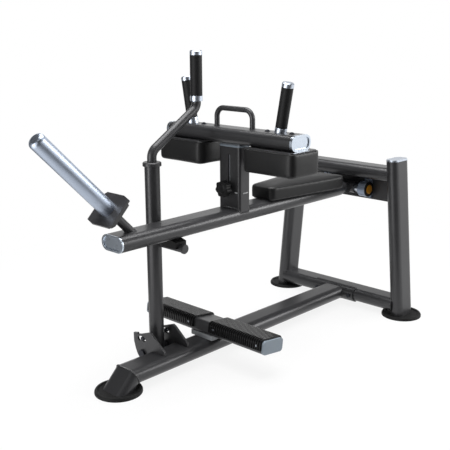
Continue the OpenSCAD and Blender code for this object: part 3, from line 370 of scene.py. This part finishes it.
def weld(name, body, points, radius=2.6):
    """A weld bead round a closed line, of that radius in millimetres: a round run with a ripple
    every two steps, under the powder coat."""
    walk = paced(points, BEAD_STEP, True)
    curve = bpy.data.curves.new(name, "CURVE")
    curve.dimensions = "3D"
    curve.bevel_depth = radius / 1000
    curve.bevel_resolution = 1
    curve.use_fill_caps = True
    run = curve.splines.new("POLY")
    run.points.add(len(walk) - 1)
    for i, point in enumerate(walk):
        run.points[i].co = (*point, 1)
        run.points[i].radius = RIPPLE[i % 2]
    run.use_cyclic_u = True
    shape = bpy.data.objects.new(name + "_run", curve)
    bpy.context.scene.collection.objects.link(shape)
    bpy.context.view_layer.update()
    mesh = bmesh.new()
    baked = shape.to_mesh()
    mesh.from_mesh(baked)
    shape.to_mesh_clear()
    bpy.data.objects.remove(shape)
    bmesh.ops.remove_doubles(mesh, verts=mesh.verts, dist=0.00001)
    bmesh.ops.recalc_face_normals(mesh, faces=mesh.faces)
    return piece(name, mesh, body, powder_coat)


def circle(centre, axis, radius, count=40):
    """Points of a circle around an axis."""
    turned = Vector(axis).to_track_quat("Z", "Y").to_matrix()
    angles = [2 * pi * i / count for i in range(count)]
    return [Vector(centre) + turned @ Vector((radius * cos(a), radius * sin(a), 0)) for a in angles]


LIFT_HANDLE_Y = 0.080
LIFT_HANDLE_RADIUS = 0.009

for side, word in ((-1, "left"), (1, "right")):
    for name in ("lower_cross_tube", "upper_cross_beam"):
        ends = rims(name, lambda p: p.y * side > 0.2)
        weld(f"weld_{name}_{word}", "frame", ends[0])
weld("weld_front_leg", "frame", rims("base_spine_tube", lambda p: p.x < spine_low.x + 0.08)[0])
weld("weld_spine_rear", "frame", rims("base_spine_tube", lambda p: p.x > spine_high.x - 0.05)[0])
weld("weld_sleeve", "lever", rims("column_sleeve", lambda p: p.z < lever_top + 0.002)[0])
weld("weld_horn_stub", "lever", rims("horn_stub", lambda p: p.z < lever_top + 0.001)[0])
weld("weld_post_top", "knee_carriage", rims("inner_post", lambda p: p.z > post_top - 0.001)[0])
for side, word in ((-1, "left"), (1, "right")):
    foot = circle((column_x, side * LIFT_HANDLE_Y, beam_high.z), (0, 0, 1), LIFT_HANDLE_RADIUS)
    weld(f"weld_lift_handle_{word}", "knee_carriage", foot, 2)


# Screws of the knee pads
SCREW_PAIR_Y = 0.194
SCREW_OFFSET = 0.050
SHANK_RADIUS = 4


def turned_part(profile, facets=24):
    """A closed bmesh spun about Z from a profile of (radius, height) points in millimetres."""
    mesh = bmesh.new()
    line = [mesh.verts.new((r / 1000, 0, z / 1000)) for r, z in profile]
    for a, b in zip(line, line[1:]):
        mesh.edges.new((a, b))
    bmesh.ops.spin(mesh, geom=mesh.verts[:] + mesh.edges[:], cent=(0, 0, 0), axis=(0, 0, 1),
                   angle=2 * pi, steps=facets, use_merge=True)
    bmesh.ops.remove_doubles(mesh, verts=mesh.verts, dist=0.00001)
    bmesh.ops.recalc_face_normals(mesh, faces=mesh.faces)
    return mesh


def add_to(mesh, part, matrix):
    """Adds a bmesh part to another, moved by a matrix."""
    part.transform(matrix)
    data = bpy.data.meshes.new("part")
    part.to_mesh(data)
    part.free()
    mesh.from_mesh(data)
    bpy.data.meshes.remove(data)


def pad_screws():
    """Button-head socket screws on washers, from the knee beam's top down into the pads' plates."""
    length = 1000 * (beam_high.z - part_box("knee_pad_bolts")[0].z)
    socket = [(0, 2.2), (2.4, 2.2)]
    head = [(2.6, 5.6), (4.2, 5.2), (6, 3.9), (7, 1.6)]
    washer = [(9.2, 1.6), (9.4, 1.2), (9.4, 0.05)]
    shank = [(SHANK_RADIUS, 0.05), (SHANK_RADIUS, -length), (0, -length)]
    mesh = bmesh.new()
    for side in (-1, 1):
        for offset in (-SCREW_OFFSET, SCREW_OFFSET):
            screw = turned_part(socket + head + washer + shank)
            place = (column_x, side * SCREW_PAIR_Y + offset, beam_high.z)
            add_to(mesh, screw, Matrix.Translation(place))
    made = piece("pad_screws", mesh, "knee_carriage", black_oxide)
    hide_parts("knee_pad_bolts")


pad_screws()


# Cushions, in metres: how far a pad starts inside its solid, because it swells, its mesh's grain,
# the most that a point may move, and the depth of the back that stays flat
START_INSET = 0.0015
VOXEL = 0.004
MOST_SWELL = 0.0015
BACK_DEPTH = 0.0015


def ease(made, board, turns):
    """Rounds a remeshed pad's edges by smoothing, and keeps its back on the board."""
    mesh = bmesh.new()
    mesh.from_mesh(made.data)
    for turn in range(turns):
        free = [v for v in mesh.verts if abs(v.co.z - board) > 0.001]
        bmesh.ops.smooth_vert(mesh, verts=free, factor=0.5,
                              use_axis_x=True, use_axis_y=True, use_axis_z=True)
    mesh.to_mesh(made.data)
    mesh.free()


def bake(made):
    """Puts what the modifiers make into the object's own mesh."""
    bpy.context.view_layer.update()
    shaped = made.evaluated_get(bpy.context.evaluated_depsgraph_get())
    data = bpy.data.meshes.new_from_object(shaped)
    made.modifiers.clear()
    made.data = data


def stuff(made, board):
    """Swells a pad by cloth with pressure, with its back held, and gives how far each point moved."""
    start = [v.co.copy() for v in made.data.vertices]
    held = made.vertex_groups.new(name="held")
    held.add([i for i, p in enumerate(start) if abs(p.z - board) < VOXEL], 1, "REPLACE")
    cloth = made.modifiers.new("stuffing", "CLOTH")
    cloth.settings.quality = 6
    cloth.settings.use_pressure = True
    cloth.settings.uniform_pressure_force = 4
    cloth.settings.vertex_group_mass = "held"
    cloth.settings.effector_weights.gravity = 0
    for step in range(1, 21):
        bpy.context.scene.frame_set(step)
    bake(made)
    bpy.context.scene.frame_set(1)
    made.vertex_groups.clear()
    moved = [v.co - p for v, p in zip(made.data.vertices, start)]
    return [m if m.length < MOST_SWELL else m.normalized() * MOST_SWELL for m in moved]


def spread(made, moved, turns=30):
    """Averages the points' movement over their neighbours, as filling does, so no wrinkle is left."""
    near = [[] for m in moved]
    for edge in made.data.edges:
        a, b = edge.vertices
        near[a].append(b)
        near[b].append(a)
    for turn in range(turns):
        moved = [(m + sum((moved[k] for k in near[i]), Vector())) / (len(near[i]) + 1)
                 for i, m in enumerate(moved)]
    return moved


def cushion(name, node, body, face):
    """A stuffed pad in the space of a CAD node. Face is 1 where the pad stands on its board and -1
    where it hangs from it."""
    low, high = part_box(node)
    board = low.z if face > 0 else high.z
    middle = (low + high) / 2
    size = high - low
    mesh = whole(node)
    for v in mesh.verts:
        for axis in (0, 1):
            inset = 1 - 2 * START_INSET / size[axis]
            v.co[axis] = middle[axis] + (v.co[axis] - middle[axis]) * inset
        v.co.z = board + (v.co.z - board) * (1 - START_INSET / size.z)
    data = bpy.data.meshes.new(name)
    mesh.to_mesh(data)
    mesh.free()
    made = bpy.data.objects.new(name, data)
    bpy.context.scene.collection.objects.link(made)
    data.materials.append(leather)
    grid = made.modifiers.new("grid", "REMESH")
    grid.mode = "VOXEL"
    grid.voxel_size = VOXEL
    bake(made)
    ease(made, board, 2)
    start = [v.co.copy() for v in made.data.vertices]
    moved = spread(made, stuff(made, board))
    for v, p, m in zip(made.data.vertices, start, moved):
        v.co = p + m
        if (v.co.z - board) * face < 0 or abs(p.z - board) < BACK_DEPTH:
            v.co.z = board
    smooth = made.modifiers.new("smooth", "SUBSURF")
    smooth.levels = smooth.render_levels = 1
    bake(made)
    # The cover is cut to size, so the finished pad is as long, as wide and as deep as its solid
    spans = [[f(v.co[axis] for v in made.data.vertices) for f in (min, max)] for axis in range(3)]
    for v in made.data.vertices:
        for axis, (a, b) in enumerate(spans):
            v.co[axis] = low[axis] + (v.co[axis] - a) / (b - a) * size[axis]
    made.data.shade_smooth()
    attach(made, body)
    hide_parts(node)


cushion("seat_padding", "seat_cushion", "lever", 1)
cushion("knee_padding_left", "knee_pad_left", "knee_carriage", -1)
cushion("knee_padding_right", "knee_pad_right", "knee_carriage", -1)


# Index marks on the sleeve: heights of each, and how far the enamel stands proud of the wall and
# reaches into it
SIDE_MARK_Z = (0.5485, 0.5515)
FRONT_MARK_Z = (0.5505, 0.5545)
MARK_RISE = 0.0004
MARK_SINK = 0.0006


def mark(name, low, high):
    """A thin box of enamel with rounded edges, between two corners."""
    mesh = bmesh.new()
    bmesh.ops.create_cube(mesh, size=1)
    low, high = Vector(low), Vector(high)
    bmesh.ops.scale(mesh, vec=high - low, verts=mesh.verts)
    bmesh.ops.translate(mesh, vec=(low + high) / 2, verts=mesh.verts)
    bmesh.ops.bevel(mesh, geom=mesh.edges, offset=0.0002, affect="EDGES", segments=2, profile=0.5,
                    material=-1)
    piece(name, mesh, "lever", mark_paint)


mark("index_mark_side",
     (column_x - 0.010, sleeve_low.y - MARK_RISE, SIDE_MARK_Z[0]),
     (column_x + 0.014, sleeve_low.y + MARK_SINK, SIDE_MARK_Z[1]))
mark("index_mark_front",
     (sleeve_low.x - MARK_RISE, -0.038, FRONT_MARK_Z[0]),
     (sleeve_low.x + MARK_SINK, -0.026, FRONT_MARK_Z[1]))


# Studio. The room that metal shows, as (compass direction in degrees, brightness): a wide white
# wall on the right, a white strip ahead of the horn, and dark cloth between them.
WALL_LEVELS = (
    (-180, 1.9), (-168, 1.9), (-152, 0.12), (-98, 0.12), (-80, 1), (75, 1), (100, 0.14),
    (142, 0.14), (158, 1.9), (180, 1.9),
)
FLOOR_LEVELS = (
    (-180, 1.9), (-168, 1.9), (-152, 0.12), (-84, 0.12), (-66, 1), (75, 1), (100, 0.1),
    (146, 0.1), (160, 1.9), (180, 1.9),
)
LEVEL_SPAN = 2
WHITE = (1, 1, 1, 1)

# Each lamp's name, place, the point it faces, its size in metres and its power in watts
LAMPS = (
    ("lamp_right", (2.4, -2.1, 1.6), (0, 0, 0.5), (1.7, 1.1), 40),
    ("lamp_left", (-3.2, 0.5, 0.9), (0, 0, 0.4), (0.5, 1.7), 18),
    ("lamp_top", (0.3, 0.2, 3.4), (0, 0, 0.5), (2.6, 2.6), 125),
)


def room_level(tree, way, levels):
    """Brightness of the room in a direction, from a list of levels round the compass."""
    compass = put(tree, "ShaderNodeSeparateXYZ", {"Vector": way})
    turn = put(tree, "ShaderNodeMath", {0: compass.outputs["Y"], 1: compass.outputs["X"]},
               operation="ARCTAN2")
    part = put(tree, "ShaderNodeMapRange", {"Value": turn.outputs[0], "From Min": -pi, "From Max": pi})
    ramp = put(tree, "ShaderNodeValToRGB", {"Fac": part.outputs["Result"]})
    stops = ramp.color_ramp.elements
    for k, (degrees, level) in enumerate(levels):
        at = (degrees + 180) / 360
        if k == 0:
            stop = stops[0]
        elif k == len(levels) - 1:
            stop = stops[len(stops) - 1]
        else:
            stop = stops.new(at)
        stop.position = at
        stop.color = (level / LEVEL_SPAN, level / LEVEL_SPAN, level / LEVEL_SPAN, 1)
    shown = put(tree, "ShaderNodeMapRange", {"Value": ramp.outputs["Color"], "To Max": LEVEL_SPAN})
    return shown.outputs["Result"]


def blend_range(tree, value, start, end, **ends):
    """A smooth change of a value between a start and an end, from 0 to 1 unless the ends say more."""
    limits = {"Value": value, "From Min": start, "From Max": end}
    limits.update({name.replace("_", " "): level for name, level in ends.items()})
    changed = put(tree, "ShaderNodeMapRange", limits, interpolation_type="SMOOTHSTEP")
    return changed.outputs["Result"]


def by_ray(tree, seen, mirrored, rest):
    """One shader for the camera, one for what metal and glass show, and one for all other rays."""
    rays = put(tree, "ShaderNodeLightPath", {})
    gloss = put(tree, "ShaderNodeMath",
                {0: rays.outputs["Is Glossy Ray"], 1: rays.outputs["Is Transmission Ray"]},
                operation="MAXIMUM")
    others = put(tree, "ShaderNodeMixShader", {0: gloss.outputs[0], 1: rest, 2: mirrored})
    chosen = put(tree, "ShaderNodeMixShader",
                 {0: rays.outputs["Is Camera Ray"], 1: others.outputs[0], 2: seen})
    return chosen.outputs[0]


def paper_floor():
    """A pale paper floor that keeps the machine's shadow."""
    mesh = bmesh.new()
    bmesh.ops.create_grid(mesh, x_segments=1, y_segments=1, size=20)
    data = bpy.data.meshes.new("floor")
    mesh.to_mesh(data)
    mesh.free()
    floor = bpy.data.objects.new("floor", data)
    bpy.context.scene.collection.objects.link(floor)
    paper = bpy.data.materials.new("studio_paper_white")
    paper.use_nodes = True
    tree = paper.node_tree
    tree.nodes.remove(tree.nodes["Principled BSDF"])
    place = put(tree, "ShaderNodeTexCoord", {}).outputs["Object"]
    reach = put(tree, "ShaderNodeMapping", {"Vector": place, "Scale": (0.78, 1, 1)}).outputs["Vector"]
    reach = put(tree, "ShaderNodeVectorMath", {0: reach}, operation="LENGTH").outputs["Value"]
    # In metal, the floor is white next to the machine, and the cloth lies only further out
    away = blend_range(tree, reach, 0.75, 1.1)
    level = put(tree, "ShaderNodeMix",
                {"Factor": away, "A": 0.9, "B": room_level(tree, place, FLOOR_LEVELS)})
    mirrored = put(tree, "ShaderNodeEmission", {"Color": WHITE, "Strength": level.outputs["Result"]})
    # To the camera, the paper takes a soft shadow, and away from the machine it goes over into
    # the white background
    soft = put(tree, "ShaderNodeBsdfDiffuse", {"Color": (0.13, 0.13, 0.13, 1)})
    glow = put(tree, "ShaderNodeEmission", {"Color": WHITE, "Strength": 0.86})
    near = put(tree, "ShaderNodeAddShader", {0: soft.outputs[0], 1: glow.outputs[0]})
    back = put(tree, "ShaderNodeEmission", {"Color": WHITE, "Strength": 1})
    seen = put(tree, "ShaderNodeMixShader",
               {0: blend_range(tree, reach, 0.7, 1.6), 1: near.outputs[0], 2: back.outputs[0]})
    plain = put(tree, "ShaderNodeBsdfDiffuse", {"Color": (0.35, 0.35, 0.35, 1)})
    chosen = by_ray(tree, seen.outputs[0], mirrored.outputs[0], plain.outputs[0])
    tree.links.new(chosen, tree.nodes["Material Output"].inputs["Surface"])
    data.materials.append(paper)


def room():
    """A white background, a soft even light, and walls that metal shows."""
    world = bpy.data.worlds.new("studio")
    bpy.context.scene.world = world
    world.use_nodes = True
    tree = world.node_tree
    tree.nodes.remove(tree.nodes["Background"])
    way = put(tree, "ShaderNodeTexCoord", {}).outputs["Generated"]
    height = put(tree, "ShaderNodeSeparateXYZ", {"Vector": way}).outputs["Z"]
    # The walls are white up to about 20 degrees above the floor, and the ceiling is dark
    wall = blend_range(tree, height, 0.28, 0.46, To_Min=1, To_Max=0.09)
    level = put(tree, "ShaderNodeMath", {0: wall, 1: room_level(tree, way, WALL_LEVELS)},
                operation="MULTIPLY")
    walls = put(tree, "ShaderNodeBackground", {"Color": WHITE, "Strength": level.outputs[0]})
    even = put(tree, "ShaderNodeBackground", {"Color": WHITE, "Strength": 0.3})
    seen = put(tree, "ShaderNodeBackground", {"Color": WHITE, "Strength": 1})
    chosen = by_ray(tree, seen.outputs[0], walls.outputs[0], even.outputs[0])
    tree.links.new(chosen, tree.nodes["World Output"].inputs["Surface"])


paper_floor()
room()
for name, place, aim, size, power in LAMPS:
    lamp = bpy.data.lights.new(name, "AREA")
    lamp.shape = "RECTANGLE"
    lamp.size, lamp.size_y = size
    lamp.energy = power
    made = bpy.data.objects.new(name, lamp)
    made.location = place
    made.rotation_euler = (Vector(aim) - Vector(place)).to_track_quat("-Z", "Y").to_euler()
    bpy.context.scene.collection.objects.link(made)

bpy.context.scene.view_settings.view_transform = "Standard"
